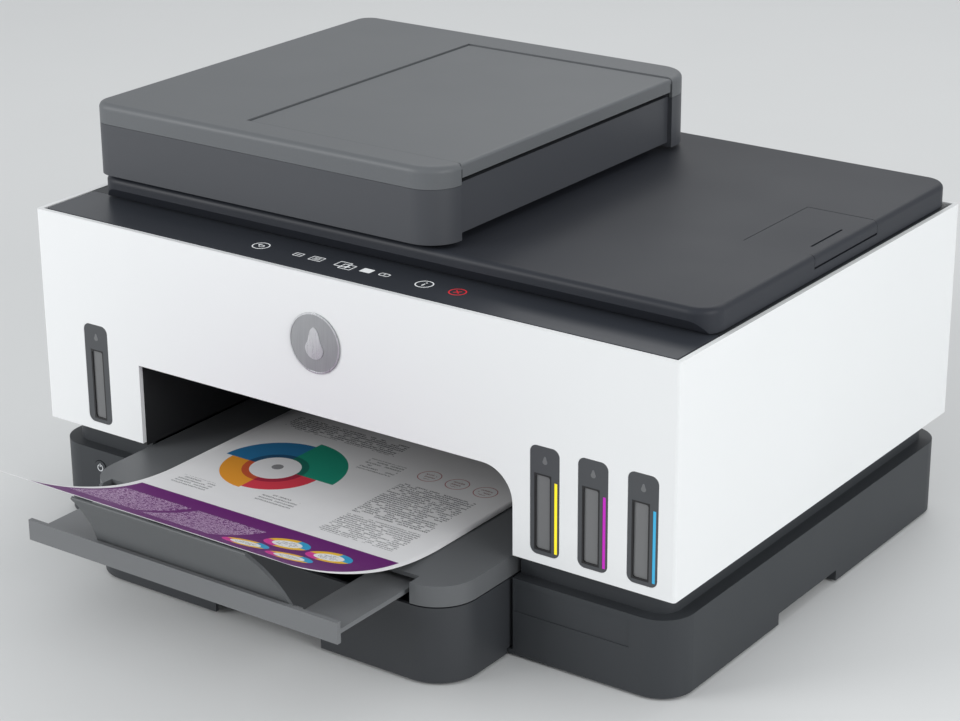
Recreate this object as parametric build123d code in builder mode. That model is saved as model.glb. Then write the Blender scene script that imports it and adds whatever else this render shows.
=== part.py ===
from build123d import *
import math
import os

# Ink tank printer with flatbed scanner and sheet feeder. X is the user's right, +Y runs to the back,
# Z is up from the desk. Depths (d) are counted back from the white front panel, at y = FRONT.

# Overall size
WIDTH = 449.6
BODY_DEPTH = 320.0
HEIGHT = 258.4
REACH = 148.3             # the curled sheet's front edge stands this far in front of the panel
FRONT = -(BODY_DEPTH - REACH) / 2
WALL = 2.6

# Heights of the horizontal splits
FOOT = 1.6
FLOOR_TOP = FOOT + WALL
BASE_TOP = 48.0
SHELL_BOTTOM = 62.8
SHELL_TOP = 197.0
LID_BOTTOM = 197.8
LID_TOP = 211.6
FEEDER_BOTTOM = 214.2
FEEDER_SPLIT = 246.0

# White shell
SHELL_HALF = WIDTH / 2
SHELL_WALL = 3.0
BAY_LEFT = -148.0
BAY_RIGHT = 122.4
BAY_TOP = 113.0
BEZEL_X = (-182.0, 143.2, 173.7, 204.6)     # black, yellow, magenta, cyan
BEZEL_WIDTH = 19.0
BEZEL_Z = (68.0, 131.6)
WINDOW_Z = (70.4, 115.4)
BADGE_CENTRE = (-11.6, 156.8)
BADGE_RADIUS = 18.0

# Dark base and its bay for the trays
BASE_HALF = 224.0
BASE_FRONT = 2.0
NECK_HALF = 216.0
NECK_FRONT = 10.0
TRAY_BAY = (-149.8, 121.0)

# Trays
TRAY_LEFT = -147.2
TRAY_RIGHT = 118.4
TRAY_FRONT = -53.4
TRAY_CORNER = 25.0
TRAY_CENTRE = (TRAY_LEFT + TRAY_RIGHT) / 2
TRAY_WALL = 2.4
INPUT_TRAY_TOP = 46.5
INPUT_TRAY_BACK = 250.0
OUTPUT_TRAY_BACK = 186.0
OUTPUT_TRAY_Z = (47.3, 59.5)
TRAY_HINGE = (182.0, 50.4)
SLOT = (-132.6, 92.4)              # front gap of the output tray that the extender fills
EXTENDER_FRONT = -113.0
STOP_HINGE = (-106.5, 55.2)
STOP_TIP = (-133.0, 95.4)
STOP_X = (-82.0, 56.0)

# Printed sheet
SHEET_X = (-113.0, 82.0)
SHEET_LENGTH = 270.0
SHEET_Z = 60.0
SHEET_BEND_START = -10.0
SHEET_BEND = (200.0, 18.0)         # first bend: radius and angle
SHEET_CURL_RADIUS = 300.0          # gentler curl from there to the front edge
SHEET_THICKNESS = 0.3

# Print mechanism
FEED_AXIS = (246.0, 70.0)
IDLER_AXIS = (223.0, 70.0)
EXIT_AXIS = (200.0, 70.0)
PINION_AXIS = (246.0, 92.0)
GEAR_X = (-168.0, -162.0)
GEAR_MODULE = 1.0
FRAME_LEFT = (-156.0, -154.4)
FRAME_RIGHT = (127.6, 129.2)
CARRIAGE_X = (135.0, 195.0)
CARRIAGE_D = (203.0, 247.0)
CARRIAGE_Z = (84.0, 135.0)
PULLEY_X = 200.0
PULLEY_Z = 125.0
PULLEY_RADIUS = 6.0
PULLEY_D = (264.4, 271.6)
PICK_PIVOT = (222.0, 55.0)
PICK_ROLLER = (242.0, 21.8)
PICK_RADIUS = 13.0

# Ink tanks
TANK_BOTTOM = SHELL_BOTTOM + 6     # stands on the neck of the base
TANK_TOP = 131.0
TANK_D = (5.6, 92.0)
TANK_HALF = (33.0, 14.5, 14.5, 14.5)
TANK_CENTRE = (-185.0, 143.2, 173.7, 204.6)
CAP_D = 60.0
CAP_PIVOT = (74.0, 142.0)

# Scanner, lid and sheet feeder
SCANNER_HALF = 221.0
SCANNER_D = (4.0, 315.4)
SCANNER_Z = (177.0, 194.4)
SCANNER_HINGE = (318.0, 193.0)
GLASS_X = (-185.0, 125.0)
GLASS_D = (48.0, 270.0)
LID_X = (-208.5, 220.0)
LID_D = (37.0, 317.0)
LID_HINGE = (317.2, 199.4)
SLIDE_OUT_X = 175.0
SLIDE_OUT_D = (148.0, 222.0)
FEEDER_X = (-206.5, 51.5)
FEEDER_D = (33.0, 299.0)
FEEDER_CORNER = (12.0, 20.0)        # left and right corners
FEEDER_COVER_EDGE = -102.4
FLAP_D = (54.0, 273.0)
FLAP_HINGE = (45.6, 253.0)
COVER_HINGE = (-207.5, 246.1)

PIN_GAP = 0.05                     # radial clearance of a turning pin in its hole


def slab(x0, x1, d0, d1, z0, z1, radius=0.0, mode=Mode.ADD):
    """Upright block between two corners, with its vertical edges rounded."""
    with BuildSketch(Plane.XY.offset(z0)) as outline:
        with Locations(((x0 + x1) / 2, FRONT + (d0 + d1) / 2)):
            if radius:
                RectangleRounded(x1 - x0, d1 - d0, radius)
            else:
                Rectangle(x1 - x0, d1 - d0)
    extrude(outline.sketch, amount=z1 - z0, mode=mode)


def cut(*corners, radius=0.0):
    slab(*corners, radius=radius, mode=Mode.SUBTRACT)


def rod_x(x0, x1, axis, radius, mode=Mode.ADD):
    """Round bar along X; axis is its (depth, height)."""
    with BuildSketch(Plane((x0, FRONT + axis[0], axis[1]), x_dir=(0, 1, 0), z_dir=(1, 0, 0))) as disc:
        Circle(radius)
    extrude(disc.sketch, amount=x1 - x0, mode=mode)


def rod_y(d0, d1, axis, radius, mode=Mode.ADD):
    """Round bar along Y; axis is its (x, height)."""
    with BuildSketch(Plane((axis[0], FRONT + d0, axis[1]), x_dir=(1, 0, 0), z_dir=(0, 1, 0))) as disc:
        Circle(radius)
    extrude(disc.sketch, amount=d1 - d0, mode=mode)


def post(x, d, z0, z1, radius, mode=Mode.ADD):
    """Round bar standing along Z."""
    with BuildSketch(Plane((x, FRONT + d, z0))) as disc:
        Circle(radius)
    extrude(disc.sketch, amount=z1 - z0, mode=mode)


def front_plane(d):
    """Plane parallel to the front panel, seen from the front, at depth d."""
    return Plane((0, FRONT + d, 0), x_dir=(1, 0, 0), z_dir=(0, -1, 0))


def side_plane(x):
    """Plane across X whose local axes are (depth from y = 0, height)."""
    return Plane((x, 0, 0), x_dir=(0, 1, 0), z_dir=(1, 0, 0))


def tray_outline(inset, d1):
    """Tray plan: straight sides, rounded front corners, cut off square at depth d1."""
    x0 = TRAY_LEFT + inset
    x1 = TRAY_RIGHT - inset
    d0 = TRAY_FRONT + inset
    with BuildSketch() as plan:
        with Locations(((x0 + x1) / 2, FRONT + (d0 + d1) / 2)):
            Rectangle(x1 - x0, d1 - d0)
        fillet(plan.vertices().group_by(Axis.Y)[0], radius=TRAY_CORNER - inset)
    return plan.sketch


def tray_layer(inset, d1, z0, z1, mode=Mode.ADD):
    extrude(tray_outline(inset, d1).moved(Location((0, 0, z0))), amount=z1 - z0, mode=mode)


def feeder_layer(inset, z0, z1, mode=Mode.ADD):
    """Feeder plan: tighter corners on its left than on its right."""
    x0, x1 = FEEDER_X[0] + inset, FEEDER_X[1] - inset
    d0, d1 = FEEDER_D[0] + inset, FEEDER_D[1] - inset
    with BuildSketch(Plane.XY.offset(z0)) as plan:
        with Locations(((x0 + x1) / 2, FRONT + (d0 + d1) / 2)):
            Rectangle(x1 - x0, d1 - d0)
        fillet(plan.vertices().group_by(Axis.X)[0], radius=FEEDER_CORNER[0] - inset)
        fillet(plan.vertices().group_by(Axis.X)[-1], radius=FEEDER_CORNER[1] - inset)
    extrude(plan.sketch, amount=z1 - z0, mode=mode)


def finish(part, name):
    """Label a sub-part and write it as its own file."""
    part.label = name
    export_step(part, f"parts/{name}.step")


os.makedirs("parts", exist_ok=True)

# --- Base: a dark tub with a recessed neck that carries the white shell -------------------------
with BuildPart() as base_housing:
    slab(-BASE_HALF, BASE_HALF, BASE_FRONT, BODY_DEPTH, FOOT, BASE_TOP, radius=20)
    cut(-BASE_HALF + WALL, BASE_HALF - WALL, BASE_FRONT + WALL, BODY_DEPTH - WALL,
        FLOOR_TOP, BASE_TOP - WALL, radius=20 - WALL)
    slab(-NECK_HALF, NECK_HALF, NECK_FRONT, BODY_DEPTH - 8, BASE_TOP - WALL, SHELL_BOTTOM + 6, radius=12)
    cut(-NECK_HALF + WALL, NECK_HALF - WALL, NECK_FRONT + WALL, BODY_DEPTH - 8 - WALL,
        BASE_TOP - WALL, SHELL_BOTTOM + 6, radius=12 - WALL)
    # open bay for the two trays, with a rib on each side of it
    cut(TRAY_BAY[0], TRAY_BAY[1], 0, NECK_FRONT + 2 * WALL, FLOOR_TOP, SHELL_BOTTOM + 7)
    cut(BAY_LEFT - 2.8, BAY_RIGHT + 2.8, NECK_FRONT - 1, NECK_FRONT + 2 * WALL, 60, SHELL_BOTTOM + 7)
    for x in (TRAY_BAY[0] - WALL, TRAY_BAY[1]):
        slab(x, x + WALL, BASE_FRONT + WALL, 262, FOOT + 1, BASE_TOP - WALL)
    # hand recess under each side
    for side in (-1, 1):
        inner, outer = sorted((side * 214.4, side * 222.5))
        slab(inner, outer, 113.4, 186.6, FOOT + 1, 11)
        inner, outer = sorted((side * 217, side * 226))
        cut(inner, outer, 116, 184, 0, 8.4)
    # shallow recessed name panel, left blank
    cut(TRAY_BAY[1] + 1, 196, BASE_FRONT - 1, BASE_FRONT + 0.5, 28, 44.5)
    # screw posts for the rear panel, power inlet hole, power button hole
    for x in (-198, -135, 135, 198):
        slab(x - 4, x + 4, BODY_DEPTH - 10.6, BODY_DEPTH - WALL - 0.1, BASE_TOP - 1, 66)
        rod_y(BODY_DEPTH - 12, BODY_DEPTH, (x, 57), 1.5, mode=Mode.SUBTRACT)
    cut(-208, -184, BODY_DEPTH - 2 * WALL, BODY_DEPTH + 1, 12, 36)
    rod_y(0, 2 * WALL + 1, (-187, 36.6), 4.9, mode=Mode.SUBTRACT)
finish(base_housing.part, "base_housing")

with BuildPart() as rubber_feet:
    for x, d in ((-196, 34), (196, 34), (-196, 290), (196, 290), (0, 285)):
        post(x, d, 0, FOOT, 9)
finish(rubber_feet.part, "rubber_feet")

# --- White shell: front and two sides in one moulding, open at the top, bottom and back ---------
with BuildPart() as white_shell:
    slab(-SHELL_HALF, SHELL_HALF, 0, BODY_DEPTH, SHELL_BOTTOM, SHELL_TOP, radius=2)
    cut(-SHELL_HALF + SHELL_WALL, SHELL_HALF - SHELL_WALL, SHELL_WALL, BODY_DEPTH - SHELL_WALL,
        SHELL_BOTTOM, SHELL_TOP)
    cut(-205, 205, BODY_DEPTH - SHELL_WALL - 1, BODY_DEPTH + 1, SHELL_BOTTOM, SHELL_TOP)
    with BuildSketch(front_plane(SHELL_WALL + 1)) as mouth:
        with Locations(((BAY_LEFT + BAY_RIGHT) / 2, (BAY_TOP + SHELL_BOTTOM - 10) / 2)):
            Rectangle(BAY_RIGHT - BAY_LEFT, BAY_TOP - SHELL_BOTTOM + 10)
        top_corners = mouth.vertices().group_by(Axis.Z)[-1].sort_by(Axis.X)
        fillet(top_corners[0], radius=6)
        fillet(mouth.vertices().group_by(Axis.Z)[-1].sort_by(Axis.X)[-1], radius=20)
    extrude(amount=SHELL_WALL + 2, mode=Mode.SUBTRACT)
    with BuildSketch(front_plane(SHELL_WALL + 1)):
        for x in BEZEL_X:
            with Locations((x, sum(BEZEL_Z) / 2)):
                RectangleRounded(BEZEL_WIDTH, BEZEL_Z[1] - BEZEL_Z[0], 4.5)
    extrude(amount=SHELL_WALL + 2, mode=Mode.SUBTRACT)
finish(white_shell.part, "white_shell")

with BuildPart() as rear_panel:
    slab(-204.6, 204.6, BODY_DEPTH - WALL, BODY_DEPTH, BASE_TOP + 0.4, 190)
    cut(-120, 90, BODY_DEPTH - WALL - 1, BODY_DEPTH + 1, 57.8, 150)
    cut(140, 194, BODY_DEPTH - WALL - 1, BODY_DEPTH + 1, 80, 98)
    for x in (-198, -135, 135, 198):
        rod_y(BODY_DEPTH - WALL - 1, BODY_DEPTH + 1, (x, 57), 1.5, mode=Mode.SUBTRACT)
        rod_y(BODY_DEPTH - 1.6, BODY_DEPTH + 1, (x, 57), 3.3, mode=Mode.SUBTRACT)
    # lugs that hold the rear door's pins
    for x0, x1 in ((-126, -120.6), (90.6, 96)):
        slab(x0, x1, BODY_DEPTH - 8, BODY_DEPTH - WALL, 58, 68)
        rod_x(x0 - 1, x1 + 1, (BODY_DEPTH - 4, 62.8), 1.2 + PIN_GAP, mode=Mode.SUBTRACT)
    # vent slots
    for i in range(9):
        cut(-196 + 7 * i, -193 + 7 * i, BODY_DEPTH - WALL - 1, BODY_DEPTH + 1, 120, 165)
    # knuckles of the scanner hinge
    for x in (-160, 140):
        slab(x, x + 20, BODY_DEPTH - 2.2, BODY_DEPTH, 188, SCANNER_HINGE[1])
        rod_x(x, x + 20, SCANNER_HINGE, 2.0)
        rod_x(x - 1, x + 21, SCANNER_HINGE, 1.2 + PIN_GAP, mode=Mode.SUBTRACT)
finish(rear_panel.part, "rear_panel")

with BuildPart() as rear_door:
    slab(-119.4, 89.4, BODY_DEPTH - WALL, BODY_DEPTH, 60.4, 149.4)
    rod_x(-119.4, 89.4, (BODY_DEPTH - 4, 62.8), 2.2)
    rod_x(-124, 94, (BODY_DEPTH - 4, 62.8), 1.2)
    cut(-40, 10, BODY_DEPTH - 1.2, BODY_DEPTH + 1, 138, 146, radius=0)
finish(rear_door.part, "rear_door")

with BuildPart() as screws:
    for x in (-198, -135, 135, 198):
        rod_y(BODY_DEPTH - 1.6, BODY_DEPTH - 0.1, (x, 57), 2.9)
        rod_y(BODY_DEPTH - 9, BODY_DEPTH - 1.6, (x, 57), 1.4)
        with BuildSketch(Plane((x, FRONT + BODY_DEPTH - 0.9, 57), x_dir=(1, 0, 0), z_dir=(0, 1, 0))):
            Rectangle(3.4, 0.8)
            Rectangle(0.8, 3.4)
        extrude(amount=2, mode=Mode.SUBTRACT)
finish(screws.part, "screws")

with BuildPart() as bay_liner:
    slab(BAY_LEFT - TRAY_WALL, BAY_LEFT, SHELL_WALL + 0.3, 188.6, 60.4, BAY_TOP + TRAY_WALL)
    slab(BAY_RIGHT, BAY_RIGHT + TRAY_WALL, SHELL_WALL + 0.3, 188.6, 60.4, BAY_TOP + TRAY_WALL)
    slab(BAY_LEFT, BAY_RIGHT, SHELL_WALL + 0.3, 188.6, BAY_TOP, BAY_TOP + TRAY_WALL)
    slab(BAY_LEFT, BAY_RIGHT, 186.2, 188.6, 92, BAY_TOP)
finish(bay_liner.part, "bay_liner")

# --- Ink tanks, their front bezels and light strips --------------------------------------------
with BuildPart() as tank_bezels:
    for i, x in enumerate(BEZEL_X):
        with BuildSketch(front_plane(SHELL_WALL)):
            with Locations((x, sum(BEZEL_Z) / 2)):
                RectangleRounded(BEZEL_WIDTH - 0.2, BEZEL_Z[1] - BEZEL_Z[0] - 0.2, 4.4)
        extrude(amount=SHELL_WALL - 0.2)
        slab(x - 12, x + 12, SHELL_WALL, SHELL_WALL + 1.4, BEZEL_Z[0] - 2, BEZEL_Z[1] + 2)
        window = (x - 5, x + 5) if i == 0 else (x - 6.9, x + 4.1)
        cut(window[0], window[1], -1, 6, WINDOW_Z[0], WINDOW_Z[1])
        if i:
            cut(x + 5.9, x + 7.9, -1, 6, WINDOW_Z[0], WINDOW_Z[1] - 3.4)
finish(tank_bezels.part, "tank_bezels")

with BuildPart() as tank_light_strips:
    for x in BEZEL_X[1:]:
        slab(x + 6.0, x + 7.8, 0.4, 5.2, WINDOW_Z[0] + 0.1, WINDOW_Z[1] - 3.5)
finish(tank_light_strips.part, "tank_light_strips")

with BuildPart() as ink_tanks:
    for i, (x, half) in enumerate(zip(TANK_CENTRE, TANK_HALF)):
        slab(x - half, x + half, TANK_D[0], TANK_D[1], TANK_BOTTOM, TANK_TOP, radius=2)
        cut(x - half + 1.6, x + half - 1.6, TANK_D[0] + 1.6, TANK_D[1] - 1.6, TANK_BOTTOM + 1.6, TANK_TOP - 1.6)
        lens = (-186.8, -177.2) if i == 0 else (x - 6.7, x + 3.9)
        slab(lens[0], lens[1], 1.2, TANK_D[0], WINDOW_Z[0] + 0.2, WINDOW_Z[1] - 0.2)
        post(x, CAP_D, TANK_TOP - 1, 138.6, 8)
        post(x, CAP_D, TANK_TOP - 3, 139, 5.6, mode=Mode.SUBTRACT)
        for side in (-1, 1):
            ear = sorted((x + side * 4.6, x + side * 7.0))
            slab(ear[0], ear[1], CAP_PIVOT[0] - 3, CAP_PIVOT[0] + 3, TANK_TOP - 0.5, CAP_PIVOT[1] + 3)
            rod_x(ear[0] - 0.5, ear[1] + 0.5, CAP_PIVOT, 1.2 + PIN_GAP, mode=Mode.SUBTRACT)
finish(ink_tanks.part, "ink_tanks")

for name, x in zip(("black", "yellow", "magenta", "cyan"), TANK_CENTRE):
    with BuildPart() as tank_cap:
        post(x, CAP_D, 139.2, 143.2, 9.5)
        post(x, CAP_D, 137.0, 139.2, 4.6)
        slab(x - 4, x + 4, CAP_D, CAP_PIVOT[0], 140.4, 143.2)
        rod_x(x - 4.2, x + 4.2, CAP_PIVOT, 2.4)
        rod_x(x - 6.9, x + 6.9, CAP_PIVOT, 1.2)
    finish(tank_cap.part, f"tank_cap_{name}")

# A plain round badge on the front
with BuildPart() as front_badge:
    rod_y(-0.7, 0, BADGE_CENTRE, BADGE_RADIUS)
finish(front_badge.part, "front_badge")

with BuildPart() as power_button:
    rod_y(1.5, 6.0, (-187, 36.6), 4.5)
    rod_y(6.0, 7.4, (-187, 36.6), 6.4)
finish(power_button.part, "power_button")

# --- Power inlet, sockets, boards --------------------------------------------------------------
with BuildPart() as power_inlet:
    slab(-207.8, -184.2, BODY_DEPTH - 20, BODY_DEPTH - 0.4, 12.2, 35.8)
    cut(-205, -187, BODY_DEPTH - 15, BODY_DEPTH, 19.5, 28.5)
    for x in (-200.3, -191.7):
        rod_y(BODY_DEPTH - 15, BODY_DEPTH - 4, (x, 24), 1.2)
finish(power_inlet.part, "power_inlet")

with BuildPart() as interface_ports:
    slab(142, 155, BODY_DEPTH - 17, BODY_DEPTH - 0.4, 82, 94)
    cut(144.2, 152.8, BODY_DEPTH - 12, BODY_DEPTH, 84.2, 91.8)
    for x in (163, 179):
        slab(x - 1, x + 12, BODY_DEPTH - 17, BODY_DEPTH - 0.4, 82, 95)
        cut(x + 1, x + 10, BODY_DEPTH - 12, BODY_DEPTH, 84.5, 92)
finish(interface_ports.part, "interface_ports")

with BuildPart() as mainboard:
    slab(126, 205, 300, 301.6, 72, 150)
    for x0, x1, z0, z1 in ((140, 158, 110, 128), (166, 178, 108, 120), (184, 194, 112, 130), (132, 137, 76, 104)):
        slab(x0, x1, 297.4, 300, z0, z1)
    for x in (150, 165, 188):
        rod_y(292, 300, (x, 140), 4)
finish(mainboard.part, "mainboard")

with BuildPart() as power_supply:
    slab(-214, -180, 140, 297, FLOOR_TOP, 44, radius=1)
    for i in range(10):
        cut(-210, -184, 148 + 14 * i, 151 + 14 * i, 42.8, 45)
finish(power_supply.part, "power_supply")

# --- Paper path: side frames, rollers, gears ---------------------------------------------------


def gear_outline(teeth, first_tooth):
    """Spur gear outline with flanked teeth; first_tooth is the angle of one tooth in degrees."""
    pitch = GEAR_MODULE * teeth / 2
    root = pitch - 1.15 * GEAR_MODULE
    tip = pitch + 0.9 * GEAR_MODULE
    root_half = 0.26 * math.pi * GEAR_MODULE / root
    tip_half = 0.11 * math.pi * GEAR_MODULE / tip
    points = []
    for i in range(teeth):
        middle = math.radians(first_tooth) + 2 * math.pi * i / teeth
        for radius, angle in ((root, -root_half), (tip, -tip_half), (tip, tip_half), (root, root_half)):
            points.append((radius * math.cos(middle + angle), radius * math.sin(middle + angle)))
    return points


def gear(axis, teeth, first_tooth, bore, mode=Mode.ADD):
    """Gear wheel in the gear plane, around an axis given as (depth, height)."""
    with BuildSketch(Plane((GEAR_X[0], FRONT + axis[0], axis[1]), x_dir=(0, 1, 0), z_dir=(1, 0, 0))) as wheel:
        with BuildLine():
            Polyline(*gear_outline(teeth, first_tooth), close=True)
        make_face()
        if bore:
            Circle(bore, mode=Mode.SUBTRACT)
    extrude(wheel.sketch, amount=GEAR_X[1] - GEAR_X[0], mode=mode)


with BuildPart() as side_frames:
    for (x0, x1), top in ((FRAME_LEFT, 106), (FRAME_RIGHT, 79)):
        slab(x0, x1, 190, 262, FLOOR_TOP, top)
        rod_x(x0 - 1, x1 + 1, FEED_AXIS, 4 + PIN_GAP, mode=Mode.SUBTRACT)
        rod_x(x0 - 1, x1 + 1, EXIT_AXIS, 3 + PIN_GAP, mode=Mode.SUBTRACT)
        rod_x(x0 - 1, x1 + 1, PICK_PIVOT, 3 + PIN_GAP, mode=Mode.SUBTRACT)
    rod_x(FRAME_LEFT[0] - 1, FRAME_LEFT[1] + 1, PINION_AXIS, 3.4, mode=Mode.SUBTRACT)
    rod_x(-170, FRAME_LEFT[0], IDLER_AXIS, 2)
finish(side_frames.part, "side_frames")

with BuildPart() as feed_roller:
    rod_x(-171, 133, FEED_AXIS, 4)
    for i in range(5):
        rod_x(-138 + 52 * i, -104 + 52 * i, FEED_AXIS, 9)
finish(feed_roller.part, "feed_roller")

with BuildPart() as feed_gear:
    gear(FEED_AXIS, 32, 0, 4)
finish(feed_gear.part, "feed_gear")

with BuildPart() as idler_gear:
    gear(IDLER_AXIS, 14, 180 / 14, 2 + PIN_GAP)
finish(idler_gear.part, "idler_gear")

with BuildPart() as exit_roller:
    rod_x(-168, 133, EXIT_AXIS, 3)
    gear(EXIT_AXIS, 32, 0, 0)
    for i in range(7):
        rod_x(-136 + 38 * i, -118 + 38 * i, EXIT_AXIS, 7.6)
finish(exit_roller.part, "exit_roller")

with BuildPart() as motor_pinion:
    gear(PINION_AXIS, 12, 15, 1.5 + PIN_GAP)
    rod_x(GEAR_X[1], GEAR_X[1] + 2, PINION_AXIS, 3)
    rod_x(GEAR_X[1] - 1, GEAR_X[1] + 3, PINION_AXIS, 1.5 + PIN_GAP, mode=Mode.SUBTRACT)
finish(motor_pinion.part, "motor_pinion")

with BuildPart() as feed_motor:
    rod_x(-199, -172, PINION_AXIS, 12)
    rod_x(-172, GEAR_X[1] + 1, PINION_AXIS, 1.5)
    slab(-173.4, -172, 228, 232, 78, 106)
    slab(-173.4, -172, 231, 260.5, 103, 106)
    slab(-173.4, FRAME_LEFT[0], 258, 260.5, 84, 106)
finish(feed_motor.part, "feed_motor")

with BuildPart() as platen:
    slab(-140, 114, 210, 235.6, 71, 75)
    for i in range(17):
        slab(-137 + 15.5 * i, -135.4 + 15.5 * i, 211, 234.6, 75, 77.4)
finish(platen.part, "platen")

with BuildPart() as rear_paper_guide:
    with BuildSketch(side_plane(-140)):
        with BuildLine():
            centre = (FRONT + 262, 45)
            outer = CenterArc(centre, 36.4, -88, 176)
            inner = CenterArc(centre, 34, -88, 176)
            Line(outer @ 0, inner @ 0)
            Line(outer @ 1, inner @ 1)
        make_face()
    extrude(amount=250)
finish(rear_paper_guide.part, "rear_paper_guide")

with BuildPart() as pick_arm:
    rod_x(-158, 131, PICK_PIVOT, 3)
    with BuildSketch(side_plane(-29)):
        with BuildLine():
            pivot_y = FRONT + PICK_PIVOT[0]
            roller_y = FRONT + PICK_ROLLER[0]
            Polyline((pivot_y - 6, PICK_PIVOT[1] + 5), (pivot_y + 7, PICK_PIVOT[1] + 5),
                     (roller_y + 6, PICK_ROLLER[1]), (roller_y + 2, PICK_ROLLER[1] - 6),
                     (roller_y - 6, PICK_ROLLER[1] - 4), (pivot_y - 7, PICK_PIVOT[1] - 4), close=True)
        make_face()
    extrude(amount=29)
    cut(-26, -3, 200, 262, 0, PICK_PIVOT[1] - 9)
    rod_x(-30, 1, PICK_ROLLER, 2.5 + PIN_GAP, mode=Mode.SUBTRACT)
finish(pick_arm.part, "pick_arm")

with BuildPart() as pick_roller:
    rod_x(-25.4, -3.6, PICK_ROLLER, PICK_RADIUS)
    rod_x(-28.8, -0.2, PICK_ROLLER, 2.5)
finish(pick_roller.part, "pick_roller")

# --- Carriage, its rail and drive --------------------------------------------------------------
with BuildPart() as carriage_rail:
    slab(-216, 216, 252, 254, 108, 150)
    slab(-216, 216, 252, 256, 108, 110)
    for side in (-1, 1):
        web = sorted((side * 214.4, side * 216))
        plate = sorted((side * 186, side * 216))
        slab(web[0], web[1], 252, 275.4, 108, 142)
        slab(plate[0], plate[1], 273.8, 275.4, 108, 142)
    rod_y(263, 274, (-PULLEY_X, PULLEY_Z), 1.5)
    rod_y(273, 276, (PULLEY_X, PULLEY_Z), 3.4, mode=Mode.SUBTRACT)
finish(carriage_rail.part, "carriage_rail")

for name, x in (("motor_pulley", PULLEY_X), ("idler_pulley", -PULLEY_X)):
    with BuildPart() as pulley:
        rod_y(PULLEY_D[0], PULLEY_D[1], (x, PULLEY_Z), PULLEY_RADIUS)
        for d in (PULLEY_D[0] - 0.8, PULLEY_D[1]):
            rod_y(d, d + 0.8, (x, PULLEY_Z), PULLEY_RADIUS + 2)
        rod_y(PULLEY_D[0] - 1, PULLEY_D[1] + 1, (x, PULLEY_Z), 1.5 + PIN_GAP, mode=Mode.SUBTRACT)
        cut(x - 1, x + 1, PULLEY_D[0] - 1, PULLEY_D[0], PULLEY_Z + 4, PULLEY_Z + 9)
    finish(pulley.part, name)

with BuildPart() as carriage_belt:
    for margin, mode in ((1.4, Mode.ADD), (PIN_GAP, Mode.SUBTRACT)):
        with BuildSketch(Plane((0, FRONT + PULLEY_D[0] + 0.6, PULLEY_Z), x_dir=(1, 0, 0), z_dir=(0, 1, 0))):
            SlotCenterToCenter(2 * PULLEY_X, 2 * (PULLEY_RADIUS + margin))
        extrude(amount=6, mode=mode)
finish(carriage_belt.part, "carriage_belt")

with BuildPart() as carriage_motor:
    rod_y(275.4, 296, (PULLEY_X, PULLEY_Z), 13)
    rod_y(273.8, 275.4, (PULLEY_X, PULLEY_Z), 3)
    rod_y(263.4, 275.4, (PULLEY_X, PULLEY_Z), 1.5)
finish(carriage_motor.part, "carriage_motor")

with BuildPart() as carriage:
    slab(CARRIAGE_X[0], CARRIAGE_X[1], CARRIAGE_D[0], CARRIAGE_D[1], CARRIAGE_Z[0], CARRIAGE_Z[1], radius=3)
    cut(CARRIAGE_X[0] + 3, CARRIAGE_X[1] - 3, CARRIAGE_D[0] + 3, CARRIAGE_D[1] - 5, CARRIAGE_Z[0] + 3, 136)
    cut(CARRIAGE_X[0] + 6, CARRIAGE_X[1] - 6, CARRIAGE_D[0] + 8, CARRIAGE_D[1] - 10, 80, 90)
    slab(CARRIAGE_X[0] + 5, CARRIAGE_X[1] - 5, CARRIAGE_D[1] - 1, 251.5, 112, 154)
    slab(CARRIAGE_X[0] + 5, CARRIAGE_X[1] - 5, 251, 257.4, 150.6, 154)
    slab(CARRIAGE_X[0] + 5, CARRIAGE_X[1] - 5, 254.6, 257.4, 134, 151)
    slab(157, 173, 257, 271, 133.2, 141)
    for x0, x1 in ((CARRIAGE_X[0] + 6, CARRIAGE_X[0] + 9), (CARRIAGE_X[1] - 9, CARRIAGE_X[1] - 6)):
        slab(x0, x1, 240, 247, 134, 144)
        rod_x(x0 - 1, x1 + 1, (243, 140), 1.2 + PIN_GAP, mode=Mode.SUBTRACT)
finish(carriage.part, "carriage")

with BuildPart() as printheads:
    for x in (142, 167):
        slab(x, x + 21, 212, 236, 82.4, 118, radius=1)
        slab(x + 2, x + 19, 214, 234, 118, 126, radius=1)
finish(printheads.part, "printheads")

with BuildPart() as carriage_latch:
    rod_x(144.4, 185.6, (243, 140), 2.4)
    rod_x(141.2, 188.8, (243, 140), 1.2)
    slab(145, 185, 206, 243, 138.6, 141.2)
    slab(152, 178, 203.6, 207, 136.2, 141.2)
finish(carriage_latch.part, "carriage_latch")

with BuildPart() as service_station:
    slab(134, 198, 206, 246, FLOOR_TOP, 70, radius=2)
    for x in (142, 167):
        slab(x, x + 21, 213, 235, 70, 80, radius=2)
        cut(x + 2, x + 19, 215, 233, 76, 81, radius=1)
    slab(191, 193, 212, 236, 70, 81)
finish(service_station.part, "service_station")

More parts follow.
